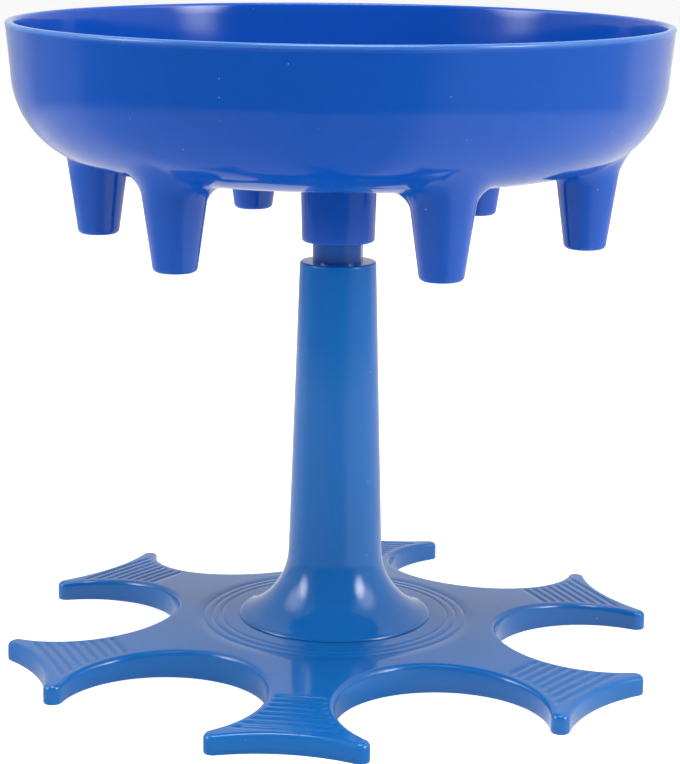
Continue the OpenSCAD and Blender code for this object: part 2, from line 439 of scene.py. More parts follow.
@dataclass(frozen=True)
class SurfaceWear:
    """The shared surface detail of moulded plastic: slow waves, fine scratches and dust."""

    name: str = "moulded_surface"
    wave_scale: float = 26.0
    wave_height: float = 0.0006
    scratch_turn: Point = (0.5, 0.3, 0.9)
    scratch_scale: Point = (900.0, 40.0, 60.0)
    scratch_limits: Span = (0.72, 0.8)
    dust_scale: float = 320.0
    dust_limits: Span = (0.07, 0.03)
    dust_rarity: float = 0.9
    dust_colour: Colour = (0.55, 0.66, 0.85)
    drift_scale: float = 9.0
    drift_limits: Span = (0.9, 1.1)
    dulling: float = 0.12
    fine_strength: float = 0.25
    fine_height: float = 0.0001

    def group(self) -> bpy.types.NodeTree:
        """Makes the shader group once, and returns it after that.

        Returns:
            The node group, with Colour, Roughness and Normal outputs.
        """
        made = bpy.data.node_groups.get(self.name)
        if made:
            return made
        tree = bpy.data.node_groups.new(self.name, "ShaderNodeTree")
        for side, name, kind in (
            ("INPUT", "Colour", "Color"),
            ("INPUT", "Roughness", "Float"),
            ("INPUT", "Dust", "Float"),
            ("INPUT", "Waves", "Float"),
            ("OUTPUT", "Colour", "Color"),
            ("OUTPUT", "Roughness", "Float"),
            ("OUTPUT", "Normal", "Vector"),
        ):
            tree.interface.new_socket(name, in_out=side, socket_type=f"NodeSocket{kind}")
        links = Links(tree)
        given = links.add("NodeGroupInput").outputs
        place = links.add("ShaderNodeTexCoord").outputs["Object"]
        dust = links.maths("MULTIPLY", self.specks(links, place), given["Dust"])
        worn = links.maths("MAXIMUM", self.scratches(links, place), dust)

        # colour: a slow drift in depth, and the dust on top
        drift = links.add("ShaderNodeTexNoise", place, Scale=self.drift_scale, Detail=2.0, Roughness=0.5)
        level = links.spread(drift.outputs["Fac"], self.drift_limits)
        depth = links.add("ShaderNodeHueSaturation", Value=level, Color=given["Colour"])
        colour = links.mixed(Mix.COLOURS, dust, depth.outputs["Color"], (*self.dust_colour, 1.0))

        # normal: slow waves, as a moulded wall sinks and swells, then the scratches and dust
        wave = links.add("ShaderNodeTexNoise", place, Scale=self.wave_scale, Detail=1.0, Roughness=0.4)
        slow = links.bump(wave.outputs["Fac"], self.wave_height, Strength=given["Waves"])
        fine = links.bump(worn, self.fine_height, Strength=self.fine_strength, Normal=slow)

        # the scratches and the dust are duller than the plastic
        rough = links.maths("MULTIPLY_ADD", worn, self.dulling, given["Roughness"])
        links.add("NodeGroupOutput", Colour=colour, Roughness=rough, Normal=fine)
        return tree

    def scratches(self, links: Links, place: bpy.types.NodeSocket) -> bpy.types.NodeSocket:
        """A mask of fine scratches: a noise drawn out along one slanted direction.

        Args:
            links: The tree that it is added to.
            place: The place on the piece.

        Returns:
            The mask's socket.
        """
        drawn = links.add(
            "ShaderNodeMapping", Vector=place, Rotation=self.scratch_turn, Scale=self.scratch_scale
        )
        noise = links.add("ShaderNodeTexNoise", drawn.outputs[0], Scale=1.0, Detail=3.0, Roughness=0.6)
        return links.share(noise.outputs["Fac"], self.scratch_limits, soft=False)

    def specks(self, links: Links, place: bpy.types.NodeSocket) -> bpy.types.NodeSocket:
        """A mask of dust: small cells of which only a few are kept.

        Args:
            links: The tree that it is added to.
            place: The place on the piece.

        Returns:
            The mask's socket.
        """
        cells = links.add("ShaderNodeTexVoronoi", place, Scale=self.dust_scale).outputs
        speck = links.share(cells["Distance"], self.dust_limits, soft=False)
        draw = links.add("ShaderNodeSeparateColor", cells["Color"]).outputs["Red"]
        return links.maths("MULTIPLY", speck, links.maths("GREATER_THAN", draw, self.dust_rarity))


@dataclass(frozen=True)
class MouldedPlastic:
    """Glossy coloured plastic that lets a little light into itself.

    Depth, dust and waves say how much light goes in, and how much of each the surface shows.
    A piece with a thin rim has a painted glow there, a lighter colour in place of light through the rim,
    which comes in over edge_z and edge_r.
    """

    name: str
    colour: Colour
    roughness: float
    depth: float
    dust: float
    waves: float
    # painted glow: a lighter colour on a thin rim, in place of light through it
    painted_glow_colour: Colour | None = None
    edge_z: Span = (0.0, 0.0)
    edge_r: Span = (0.0, 0.0)

    def painted_rim_glow(self, links: Links) -> bpy.types.NodeSocket:
        """The colour, with a painted glow: lighter on the thin rim, in place of light that comes through it.

        Args:
            links: The tree that it is added to.

        Returns:
            The colour's socket.
        """
        place = links.add("ShaderNodeTexCoord").outputs["Object"]
        height = links.add("ShaderNodeSeparateXYZ", place).outputs["Z"]
        level = links.add("ShaderNodeVectorMath", place, (1.0, 1.0, 0.0), operation="MULTIPLY")
        radius = links.measure("LENGTH", level.outputs["Vector"])
        high = links.share(height, tuple(limit * MM for limit in self.edge_z))
        outer = links.share(radius, tuple(limit * MM for limit in self.edge_r))
        # painted glow: the lighter colour is painted where the rim is both high and far out
        rim = links.maths("MULTIPLY", high, outer)
        return links.mixed(Mix.COLOURS, rim, (*self.colour, 1.0), (*self.painted_glow_colour, 1.0))

    def material(self) -> bpy.types.Material:
        """Makes the material.

        Returns:
            The new material.
        """
        made, links, shader = blank_finish(self.name)
        surface = links.add("ShaderNodeGroup", node_tree=SurfaceWear().group())
        # the painted rim glow, where the piece has one
        colour = self.painted_rim_glow(links) if self.painted_glow_colour else (*self.colour, 1.0)
        links.fill(surface, Colour=colour, Roughness=self.roughness, Dust=self.dust, Waves=self.waves)
        links.fill(
            shader,
            Base_Color=surface.outputs["Colour"],
            Roughness=surface.outputs["Roughness"],
            Normal=surface.outputs["Normal"],
            IOR=1.49,
            Subsurface_Weight=self.depth,
            Subsurface_Radius=(0.25, 0.5, 1.0),
            Subsurface_Scale=0.004,
        )
        return made


@dataclass(frozen=True)
class PlatedSteel:
    """Bright plated steel with turned rings."""

    name: str
    colour: Colour
    roughness: float
    dull_by: float = 0.15
    cloud_scale: float = 400.0
    ring_scale: float = 900.0
    ring_height: float = 0.00005

    def material(self) -> bpy.types.Material:
        """Makes the material.

        Returns:
            The new material.
        """
        made, links, shader = blank_finish(self.name)
        place = links.add("ShaderNodeTexCoord").outputs["Object"]
        rings = links.add(
            "ShaderNodeTexWave", place, wave_type="RINGS", rings_direction="Z", Scale=self.ring_scale
        )
        grain = links.bump(rings.outputs["Fac"], self.ring_height, Strength=0.2)
        cloud = links.add("ShaderNodeTexNoise", place, Scale=self.cloud_scale)
        dull = links.spread(cloud.outputs["Fac"], (self.roughness, self.roughness + self.dull_by))
        links.fill(shader, Base_Color=(*self.colour, 1.0), Metallic=1.0, Roughness=dull, Normal=grain)
        return made


def dress(piece: bpy.types.Object, material: bpy.types.Material) -> None:
    """Gives a piece its one material.

    Args:
        piece: The piece.
        material: The material.
    """
    if piece.material_slots:
        for place in piece.material_slots:
            place.material = material
    else:
        piece.data.materials.append(material)


# ---------------------------------------------------------------- the bowl


@dataclass
class Bowl:
    """The pouring bowl: rim, wall, floor, six nozzles and the socket, in one moulding."""

    finish: MouldedPlastic

    # wall and rim
    rim_r: float = 83.1
    rim_z: float = 163.0
    wall: float = 1.8
    lean_deg: float = 4.0
    turn_r: float = 23.0
    bead_out: float = 0.4
    bead_h: float = 1.4
    bead_deg: Span = (-35.0, 90.0)
    bead_neck: float = 0.5
    bead_swell: float = 0.22
    lip: tuple[Flat, ...] = ((0.8, 0.0), (0.4, 0.12), (0.1, 0.42), (0.0, 0.9))

    # floor, with a raised middle
    floor_z: float = 128.0
    crown_r: float = 46.0
    crown_top_r: float = 14.0
    crown_h: float = 5.0
    crown_foot: tuple[Flat, ...] = ((1.0, 0.08), (2.0, 0.3))
    crown_brow: Flat = (1.5, 0.25)

    # nozzles
    nozzles: int = 6
    ring_r: float = 62.4
    tip_z: float = 107.6
    tip_r: float = 5.2
    tip_round: float = 1.3
    nozzle_deg: float = 8.0
    blend: float = 4.4
    pour_r: float = 2.7
    pour_edge: float = 0.35
    funnel_r: float = 5.4
    funnel_h: float = 3.2
    funnel_edge: float = 0.7
    funnel_lip: tuple[Flat, ...] = ((1.0, 0.0), (0.5, 0.08), (0.15, 0.3))

    # socket
    socket_r: float = 9.3
    socket_z: float = 107.6
    socket_deg: float = 1.5
    socket_edge: float = 0.5
    socket_rings: tuple[float, ...] = (126.0, 120.0, 114.0, 108.4)
    root_blend: float = 1.8
    bore_r: float = 6.58
    bore_edge: float = 0.25
    bore_end_z: float = 128.0
    flat_x: float = 6.18

    # mesh: the patch of floor that one nozzle stands in, and how fine its border is
    patch_r: float = 76.0
    outer_parts: int = 32
    side_parts: int = 12
    inner_parts: int = 16
    turn_parts: int = 14

    @property
    def turn_z(self) -> float:
        """Height of the centre of the curve between wall and floor."""
        return self.floor_z + self.turn_r

    @property
    def wall_r(self) -> float:
        """Radius of the wall just under the bead."""
        return self.rim_r - self.bead_out

    @property
    def turn_x(self) -> float:
        """Distance from the axis of the centre of the curve between wall and floor.

        Returns:
            The distance at which the curve runs into the leaning wall without a kink.
        """
        lean = math.radians(self.lean_deg)
        rise = self.rim_z - self.bead_h - self.turn_z + self.turn_r * math.sin(lean)
        return self.wall_r - rise * math.tan(lean) - self.turn_r * math.cos(lean)

    @property
    def columns(self) -> int:
        """How many lines run out from a nozzle to the border of its patch."""
        return self.outer_parts + 2 * self.side_parts + self.inner_parts

    def skin_z(self, radius: float, inset: float = 0.0) -> float:
        """Height of the floor, and of its curve up into the wall.

        Args:
            radius: Distance from the axis.
            inset: 0 for the underside, or the wall's thickness for the inside.

        Returns:
            The height.
        """
        if radius <= self.turn_x:
            return self.floor_z + inset
        reach = self.turn_r - inset
        return self.turn_z - math.sqrt(max(reach**2 - (radius - self.turn_x) ** 2, 0.0))

    def skin_slope(self, radius: float, step: float = 0.05) -> float:
        """Slope of the underside at a distance from the axis."""
        return (self.skin_z(radius + step) - self.skin_z(radius - step)) / (2 * step)

    def side_r(self, height: float) -> float:
        """Radius of a nozzle's side at a height."""
        return self.tip_r + (height - self.tip_z) * math.tan(math.radians(self.nozzle_deg))

    def border(self, column: int) -> Flat:
        """A point on the border of the patch of floor that one nozzle stands in.

        Args:
            column: Which of the lines that run out from the nozzle.

        Returns:
            The point's place, seen from above, with the nozzle on the X axis.
        """
        half = math.pi / self.nozzles
        rest = column % self.columns
        stretches = (
            (self.outer_parts, (self.patch_r, -half), (self.patch_r, half)),
            (self.side_parts, (self.patch_r, half), (self.crown_r, half)),
            (self.inner_parts, (self.crown_r, half), (self.crown_r, -half)),
            (self.side_parts, (self.crown_r, -half), (self.patch_r, -half)),
        )
        for parts, first, last in stretches:
            if rest <= parts:
                break
            rest -= parts
        return polar(*along(first, last, rest / parts))

    def heading(self, column: int) -> float:
        """The direction in which a line leaves the nozzle."""
        return (math.tau * column - math.pi * self.outer_parts) / self.columns

    def on_nozzle(self, column: int, radius: float, height: float) -> Point:
        """A point at a distance from the nozzle's axis."""
        return (*polar(radius, self.heading(column), (self.ring_r, 0.0)), height)

    def on_floor(self, column: int, reach: float, inset: float, drop: float = 0.0) -> Point:
        """A point of the floor at a distance from the nozzle's axis, or a drop below it."""
        x, y, _ = self.on_nozzle(column, reach, 0.0)
        return (x, y, self.skin_z(math.hypot(x, y), inset) - drop)

    def out_from(self, column: int, near: Point, share: float, inset: float) -> Point:
        """A point of the floor on the way from a point near the nozzle to the border."""
        x, y = along(near[:2], self.border(column), share)
        return (x, y, self.skin_z(math.hypot(x, y), inset))

    def on_inside(self, column: int, share: float) -> Point:
        """A point of the inside, at a share of the way from the funnel's lip to the border."""
        near = self.on_floor(column, self.funnel_r + self.funnel_lip[0][0], self.wall)
        return self.out_from(column, near, share, self.wall)

    def on_underside(self, column: int, share: float) -> Point:
        """A point of the underside, at a share of the way from the blend to the border."""
        return self.out_from(column, self.on_blend(column, 1.0), share, 0.0)

    def meet_z(self, column: int) -> float:
        """Height at which a nozzle's side would meet the floor."""
        return self.on_floor(column, self.side_r(self.floor_z), 0.0)[2]

    def on_side(self, column: int, share: float) -> Point:
        """A point of a nozzle's side, at a share of the way from its tip to the blend.

        Args:
            column: Which of the lines that run out from the nozzle.
            share: The share of the way.

        Returns:
            The point.
        """
        low = self.tip_z + self.tip_round
        height = low + (self.meet_z(column) - self.blend - low) * share
        return self.on_nozzle(column, self.side_r(height), height)

    def on_blend(self, column: int, share: float) -> Point:
        """A point on the soft blend between a nozzle's side and the floor.

        Args:
            column: Which of the lines that run out from the nozzle.
            share: 0 on the nozzle's side, 1 on the floor.

        Returns:
            The point.
        """
        meet_z = self.meet_z(column)
        start_z, corner_r = meet_z - self.blend, self.side_r(meet_z)
        end_r = corner_r + self.blend
        x, y, end_z = self.on_floor(column, end_r, 0.0)
        # the corner lies on the line that leaves the floor at the blend's end
        slope = self.skin_slope(math.hypot(x, y)) * math.cos(self.heading(column))
        corner = (corner_r, end_z - slope * self.blend)
        return self.on_nozzle(column, *bent((self.side_r(start_z), start_z), corner, (end_r, end_z), share))

    def patch(self) -> bpy.types.Object:
        """One nozzle with the patch of floor round it, inside and outside.

        Returns:
            The patch, with its nozzle on the X axis.
        """
        inner_z = self.floor_z + self.wall
        throat = (self.pour_r, inner_z - self.funnel_h)
        low = self.tip_z + self.tip_round
        tip_centre = (self.side_r(low) - self.tip_round, low)
        # down the funnel and the pour hole, and round the tip
        rings = [(self.funnel_r, inner_z - self.funnel_edge)]
        rings += straight(rings[0], throat, 3)
        rings += straight(throat, (self.pour_r, self.tip_z + self.pour_edge), 3)
        rings += [(self.pour_r + self.pour_edge, self.tip_z)]
        # the last ring lies half a step below the side's first row
        rings += arc(tip_centre, self.tip_round, -math.pi / 2, -math.pi / 22, 5)

        rows: list[Row] = [partial(self.on_inside, share=1.0 - share) for share in shares(8)]
        rows += [
            partial(self.on_floor, reach=self.funnel_r + out, inset=self.wall, drop=drop)
            for out, drop in self.funnel_lip[1:]
        ]
        rows += [partial(self.on_nozzle, radius=radius, height=height) for radius, height in rings]
        rows += [partial(self.on_side, share=share) for share in shares(6)[:-1]]
        rows += [partial(self.on_blend, share=share) for share in shares(10)]
        rows += [partial(self.on_underside, share=share) for share in shares(12)[1:]]
        return woven("bowl_patch", self.columns, len(rows) - 1, lambda column, row: rows[row](column))

    def rim(self) -> bpy.types.Object:
        """The wall with its bead, from the patches' outer border up, over and down inside.

        Returns:
            The wall.
        """
        lean = math.radians(self.lean_deg)
        turn = (self.turn_x, self.turn_z)
        out = self.patch_r - self.turn_x
        outline = arc(turn, self.turn_r, -math.acos(out / self.turn_r), -lean, self.turn_parts)

        # the wall leans out, and swells a little towards the bead
        low_r, low_z = outline[-1]
        rise = self.rim_z - self.bead_h - self.bead_neck - low_z
        for share in shares(5)[1:]:
            swell = self.bead_swell * share**2
            outline.append((low_r + rise * share * math.tan(lean) + swell, low_z + rise * share))
        bead = self.bead_h / 2
        first, last = (math.radians(angle) for angle in self.bead_deg)
        outline += arc((self.rim_r - bead, self.rim_z - bead), bead, first, last, 7)

        # the inside follows the outside at the wall's thickness
        inner_r = self.wall_r - self.wall
        outline += [(inner_r + out_by, self.rim_z - down) for out_by, down in self.lip]
        reach = self.turn_r - self.wall
        outline += straight(outline[-1], polar(reach, -lean, turn), 6)
        outline += arc(turn, reach, -lean, -math.acos(out / reach), self.turn_parts)[1:]
        return turned("bowl_rim", outline, self.outer_parts * self.nozzles)

    def crown(self, inset: float) -> list[Flat]:
        """The raised middle of the floor.

        Args:
            inset: 0 for the underside, or the wall's thickness for the inside.

        Returns:
            The half section, from its border to its flat top.
        """
        low, high = self.floor_z + inset, self.floor_z + inset + self.crown_h
        foot = [(self.crown_r - inward, low + up) for inward, up in self.crown_foot]
        brow = (self.crown_top_r + self.crown_brow[0], high - self.crown_brow[1])
        return [(self.crown_r, low), *foot, *straight(foot[-1], brow, 5), (self.crown_top_r, high)]

    def middle(self) -> list[bpy.types.Object]:
        """The raised middle, seen from above and from below, with the socket.

        Returns:
            The upper and the lower skin.
        """
        steps = self.inner_parts * self.nozzles
        top_z = self.floor_z + self.wall + self.crown_h
        top = [(self.crown_top_r / 2, top_z), (0.0, top_z)]
        upper = turned("bowl_crown", self.crown(self.wall) + top, steps)

        under_z = self.floor_z + self.crown_h
        taper = math.tan(math.radians(self.socket_deg))
        root_r = self.socket_r + (under_z - self.socket_z) * taper
        root = (root_r + self.root_blend, under_z), (root_r, under_z), (root_r, under_z - self.root_blend)
        edge = self.socket_edge
        bore_low = (self.bore_r, self.socket_z + self.bore_edge)
        outline = self.crown(0.0)
        outline += [bent(*root, share) for share in shares(5)]
        outline += [(self.socket_r + (z - self.socket_z) * taper, z) for z in self.socket_rings]
        outline += arc((self.socket_r - edge, self.socket_z + edge), edge, 0.0, -math.pi / 2, 4)
        outline += [(self.bore_r + self.bore_edge, self.socket_z), bore_low]
        outline += straight(bore_low, (self.bore_r, self.bore_end_z), 4)
        outline += [(self.bore_r / 2, self.bore_end_z), (0.0, self.bore_end_z)]
        lower = turned("bowl_socket", outline, steps)
        self.press_flat(lower)
        return [upper, lower]

    def press_flat(self, skin: bpy.types.Object) -> None:
        """Moves the wall of the socket's bore onto its flat.

        Args:
            skin: The lower skin of the bowl's middle.
        """
        for vertex in skin.data.vertices:
            x, y, z = vertex.co / MM
            beyond = math.hypot(x, y) - self.bore_r
            limit = self.flat_x + max(beyond, 0.0)
            in_bore = beyond < 2 * self.bore_edge and z < self.bore_end_z + self.bore_edge
            if in_bore and x > limit:
                vertex.co.x = limit * MM

    def build(self) -> bpy.types.Object:
        """Models the bowl in place of its plain solid.

        Returns:
            The finished bowl.
        """
        patch = self.patch()
        ringed(patch, self.nozzles)
        bowl = joined("pouring_bowl", [patch, self.rim(), *self.middle()], 40.0)
        dress(bowl, self.finish.material())
        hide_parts("dispenser_bowl")
        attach(bowl, Body.BOWL.value)
        return bowl


# ---------------------------------------------------------------- the stand


@dataclass
class Column:
    """The flared column, hollow from below, with the spindle's bearing at its top."""

    finish: MouldedPlastic
    top_z: float = 102.4
    top_r: float = 9.8
    low_r: float = 12.2
    edge: float = 0.5
    flare_r: float = 18.5
    foot_r: float = 25.0
    foot_z: float = 8.6
    foot_edge: float = 0.6
    foot_step: float = 0.5
    foot_chamfer: Flat = (0.15, 0.12)
    spigot_r: float = 14.5
    spigot_z: float = 1.2
    spigot_edge: float = 0.4
    hollow_r: float = 8.4
    bearing_l: float = 28.0
    bore_r: float = 4.78
    bore_edge: float = 0.3
    steps: int = 192

    def flare(self) -> list[Flat]:
        """The hollow curve from the foot up into the column.

        Returns:
            Its points, from the foot up.
        """
        centre_r = self.low_r + self.flare_r
        inward = centre_r - self.foot_r
        centre_z = self.foot_z + self.foot_edge + math.sqrt(self.flare_r**2 - inward**2)
        first = math.pi + math.acos((inward + self.foot_step) / self.flare_r)
        return arc((centre_r, centre_z), self.flare_r, first, math.pi, 32)

    def outline(self) -> list[Flat]:
        """The half section of the column.

        Returns:
            Its corners, from the foot's underside round to the hollow.
        """
        flare = self.flare()
        inward, up = self.foot_chamfer
        foot = (self.foot_r, self.foot_z + up), (self.foot_r, self.foot_z + self.foot_edge), flare[1]
        shoulder = (self.top_r - self.edge, self.top_z - self.edge)
        bore_top = (self.bore_r, self.top_z - self.bore_edge)
        bearing_z = self.top_z - self.bearing_l
        points = [(self.spigot_r, self.foot_z), (self.foot_r - inward, self.foot_z)]
        points += [bent(*foot, share) for share in shares(5)[:-1]]
        points += flare[1:]
        points += straight(flare[-1], (self.top_r, shoulder[1]), 8)
        points += arc(shoulder, self.edge, 0.0, math.pi / 2, 5)[1:]
        points += [(self.bore_r + self.bore_edge, self.top_z), bore_top]
        points += straight(bore_top, (self.bore_r, bearing_z), 4)
        points += [(self.hollow_r, bearing_z)]
        points += straight((self.hollow_r, bearing_z), (self.hollow_r, self.spigot_z), 2)
        points += [(self.spigot_r - self.spigot_edge, self.spigot_z)]
        points += [(self.spigot_r, self.spigot_z + self.spigot_edge)]
        return points

    def build(self) -> bpy.types.Object:
        """Models the column in place of its plain solid.

        Returns:
            The finished column.
        """
        column = joined("flared_column", [turned("column_turning", self.outline(), self.steps, closed=True)])
        dress(column, self.finish.material())
        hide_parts("column")
        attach(column, Body.STAND.value)
        return column


@dataclass
class RimMark:
    """A place on the plate's outline, which knows how to move inward.

    It lies on a circle. Outward is 1 where the plate is outside that circle, and -1 inside.
    """

    centre: Flat
    radius: float
    outward: float
    angle: float

    def at(self, inset: float) -> Flat:
        """The place, moved inward, seen from above."""
        return polar(self.radius + self.outward * inset, self.angle, self.centre)


@dataclass
class RowLine:
    """A line across one arm, from its middle to its edge or to the next arm's patch.

    Its end is a mark on the outline, or lies at limit_r on the border with the next arm. It
    is bowed by a share of the rings' curve and by a share of the curve of the arm's end.
    """

    middle: float
    mark: RimMark | None = None
    limit_r: float = 0.0
    ring: float = 0.0
    tail: float = 0.0


@dataclass
class FootPlate:
    """The six-armed plate that the dispenser stands on, hollow underneath."""

    finish: MouldedPlastic

    # outline: six arms between six round seats, each with a hollow end and round corners
    arms: int = 6
    seat_r: float = 25.7
    seat_ring_r: float = 68.2
    tail_r: float = 43.8
    tail_ring_r: float = 124.2
    corner_r: float = 2.33
    edge: float = 1.3

    # top, which falls from the column's foot outward
    plate_z: float = 8.6
    plate_t: float = 2.0
    foot_r: float = 25.4
    fall: float = 0.06316

    # grip grooves across the arms, and rings about the column's foot
    grooves: int = 8
    groove_start: float = 59.4
    pitch: float = 2.6
    groove_depth: float = 0.35
    groove_w: float = 0.9
    groove_margin: float = 2.4
    groove_fade: float = 0.3
    rings: int = 3
    ring_start: float = 29.6
    ring_pitch: float = 2.4
    ring_depth: float = 0.16
    ring_w: float = 0.6

    # underside
    skirt_t: float = 1.8
    skirt_foot: tuple[Flat, ...] = ((0.0, 0.3), (0.1, 0.08), (0.35, 0.0), (1.6, 0.0), (1.8, 0.25))
    collar_in: float = 14.5
    collar_out: float = 16.5
    collar_edge: float = 0.3
    rib_t: float = 1.4
    rib_edge: float = 0.2
    rib_sunk: float = 0.8
    rib_root: float = 0.6
    rib_end: float = 1.0

    # mesh: where the lines across an arm turn from round to straight, and how many there are
    patch_r: float = 24.0
    plain_rings: tuple[float, ...] = (26.0, 27.5, 29.0)
    polar_r: float = 38.0
    straight_x: float = 48.0
    end_x: float = 78.45
    line_pitch: float = 1.35
    cut_lines: tuple[float, ...] = (1.12, 0.87, 0.59, 0.28)
    half_columns: int = 14
    waist_parts: int = 12
    plain_lines: int = 8
    corner_parts: int = 18

    seat: Flat = field(init=False)
    corner: Flat = field(init=False)

    def __post_init__(self) -> None:
        """Works out the centres of the seat and of the arm's corner."""
        self.seat = polar(self.seat_ring_r, self.half)
        near, far = self.seat_r + self.corner_r, self.tail_r + self.corner_r
        apart = math.dist(self.seat, self.tail)
        run = (near**2 - far**2 + apart**2) / (2 * apart)
        rise = math.sqrt(near**2 - run**2)
        ux, uy = ((end - start) / apart for start, end in zip(self.seat, self.tail))
        self.corner = (self.seat[0] + run * ux + rise * uy, self.seat[1] + run * uy - rise * ux)

    @property
    def half(self) -> float:
        """Half the angle between two arms."""
        return math.pi / self.arms

    @property
    def tail(self) -> Flat:
        """The centre of the curve of the arm's end."""
        return (self.tail_ring_r, 0.0)

    def top_z(self, radius: float) -> float:
        """Height of the plate's top, before its grooves."""
        return self.plate_z - max(radius - self.foot_r, 0.0) * self.fall

    def top_at(self, x: float, y: float) -> float:
        """Height of the plate's top at a place on an arm, with its grooves."""
        return self.top_z(math.hypot(x, y)) - self.carve(x, y)

    def roof_at(self, x: float, y: float) -> float:
        """Height of the plate's ceiling at a place on an arm."""
        return self.top_z(math.hypot(x, y)) - self.plate_t

    def cut_depth(self, offset: float, round_r: float, depth: float) -> float:
        """Depth of a groove at a distance from its middle.

        Args:
            offset: The distance.
            round_r: The radius of the groove's round bottom.
            depth: The groove's depth in its middle.

        Returns:
            The depth there.
        """
        if abs(offset) >= round_r:
            return 0.0
        return max(math.sqrt(round_r**2 - offset**2) - (round_r - depth), 0.0)

    def across(self, round_r: float, depth: float) -> list[float]:
        """Where the lines across a groove lie, from its middle.

        Args:
            round_r: The radius of the groove's round bottom.
            depth: The groove's depth in its middle.

        Returns:
            Their places, from one side of the groove to the other.
        """
        reach = math.sqrt(round_r**2 - (round_r - depth) ** 2)
        one = [reach * share for share in self.cut_lines]
        return [*(-offset for offset in one), 0.0, *reversed(one)]

    def carve(self, x: float, y: float) -> float:
        """Depth of the grip grooves and rings.

        Args:
            x: The place along the arm.
            y: The place across it.

        Returns:
            The depth there.
        """
        depth = 0.0
        radius = math.hypot(x, y)
        for k in range(self.rings):
            offset = radius - self.ring_start - k * self.ring_pitch
            depth = max(depth, self.cut_depth(offset, self.ring_w, self.ring_depth))
        clear = math.dist((x, abs(y)), self.seat) - self.seat_r - self.groove_margin
        held = eased(-self.groove_fade, self.groove_fade, clear)
        for k in range(self.grooves):
            offset = x - self.groove_start - k * self.pitch
            depth = max(depth, held * self.cut_depth(offset, self.groove_w, self.groove_depth))
        return depth

    def seat_angle(self, x: float) -> float:
        """The direction from the seat's centre to its edge at a place along the arm."""
        return math.tau - math.acos((x - self.seat[0]) / (self.seat_r + self.edge))

    def seat_mark(self, angle: float) -> RimMark:
        """A mark on the edge of the seat."""
        return RimMark(self.seat, self.seat_r, 1.0, angle)

    def tail_mark(self, share: float) -> RimMark:
        """A mark on the hollow end of the arm, 0 in its middle and 1 at its corner."""
        last = direction(self.tail, self.corner)
        return RimMark(self.tail, self.tail_r, 1.0, math.pi + (last - math.pi) * share)

    def foot_lines(self) -> list[RowLine]:
        """The round lines about the column's foot.

        Returns:
            The lines, from the foot outward.
        """
        radii = {self.patch_r, *self.plain_rings, self.polar_r}
        for k in range(self.rings):
            middle = self.ring_start + k * self.ring_pitch
            radii |= {round(middle + offset, 3) for offset in self.across(self.ring_w, self.ring_depth)}
        return [RowLine(radius, limit_r=radius, ring=1.0) for radius in sorted(radii)]

    def waist_lines(self) -> list[RowLine]:
        """The lines that turn from round to straight, where an arm leaves the middle.

        Returns:
            The lines, from the middle outward.
        """
        made: list[RowLine] = []
        first, last = math.pi + self.half, self.seat_angle(self.straight_x)
        border_r = (self.polar_r + self.seat_ring_r - self.seat_r - self.edge) / 2
        for k in range(1, self.waist_parts + 1):
            share = k / self.waist_parts
            middle = self.polar_r + (self.straight_x - self.polar_r) * share
            if k == 1:
                made.append(RowLine(middle, limit_r=border_r, ring=1 - share))
            else:
                angle = first + (last - first) * (k - 2) / (self.waist_parts - 2)
                made.append(RowLine(middle, mark=self.seat_mark(angle), ring=1 - share))
        return made

    def arm_lines(self) -> list[RowLine]:
        """The straight lines across an arm, close together at its grooves.

        Returns:
            The lines, from the waist outward.
        """
        places = [self.straight_x + self.line_pitch * k for k in range(1, self.plain_lines + 1)]
        for k in range(self.grooves):
            middle = self.groove_start + k * self.pitch
            places += [middle + offset for offset in self.across(self.groove_w, self.groove_depth)]
        kept = sorted({round(x, 3) for x in places if x <= self.end_x})
        return [RowLine(x, mark=self.seat_mark(self.seat_angle(x))) for x in kept]

    def corner_lines(self, before: RowLine) -> list[RowLine]:
        """The lines that turn with an arm's corner into the curve of its end.

        Args:
            before: The last of the straight lines.

        Returns:
            The lines, from there to the arm's end.
        """
        made: list[RowLine] = []
        end_x = self.tail_ring_r - self.tail_r - self.edge
        to_corner = direction(self.seat, self.corner) % math.tau
        first, last = direction(self.corner, self.seat), direction(self.corner, self.tail)
        for k in range(1, self.corner_parts + 1):
            share = k / self.corner_parts
            if k <= 2:
                mark = self.seat_mark(before.mark.angle + (to_corner - before.mark.angle) * k / 2)
            else:
                angle = first + (last - first) * (k - 2) / (self.corner_parts - 2)
                mark = RimMark(self.corner, self.corner_r, -1.0, angle)
            middle = before.middle + (end_x - before.middle) * share
            made.append(RowLine(middle, mark=mark, tail=share))
        return made

    def point(self, line: RowLine, share: float, inset: float) -> Flat:
        """A place on a line across the arm.

        Args:
            line: The line.
            share: 0 in the arm's middle, 1 or -1 at its edges.
            inset: How far the patch's edge is drawn in.

        Returns:
            The place seen from above, with the arm along X.
        """
        out = abs(share)
        ring_r = line.middle if line.ring == 1.0 else self.polar_r
        middle = (line.middle + (self.edge - inset) * line.tail, 0.0)
        limit = line.mark.at(inset) if line.mark else polar(line.limit_r, self.half)
        x, y = along(middle, limit, out)
        ring_x, ring_y = bulge(lambda s: polar(ring_r, self.half * s), out)
        tail_x, tail_y = bulge(lambda s: self.tail_mark(s).at(inset), out)
        x += line.ring * ring_x + line.tail * tail_x
        y += line.ring * ring_y + line.tail * tail_y
        return (x, math.copysign(1.0, share) * y)

    def face(
        self,
        name: str,
        inset: float,
        lines: Sequence[RowLine],
        height: Callable[[float, float], float],
    ) -> bpy.types.Object:
        """One arm's share of the plate's top or of its ceiling.

        Args:
            name: The name of the new piece.
            inset: How far its edge is drawn in.
            lines: The lines across half the arm.
            height: Gives the height at a place.

        Returns:
            The skin, with the arm along X.
        """
        half = self.half_columns

        def place(column: int, row: int) -> Point:
            """The point of the skin for a column and a row."""
            x, y = self.point(lines[row], (column - half) / half, inset)
            return (x, y, height(x, y))

        return woven(name, 2 * half, len(lines) - 1, place)

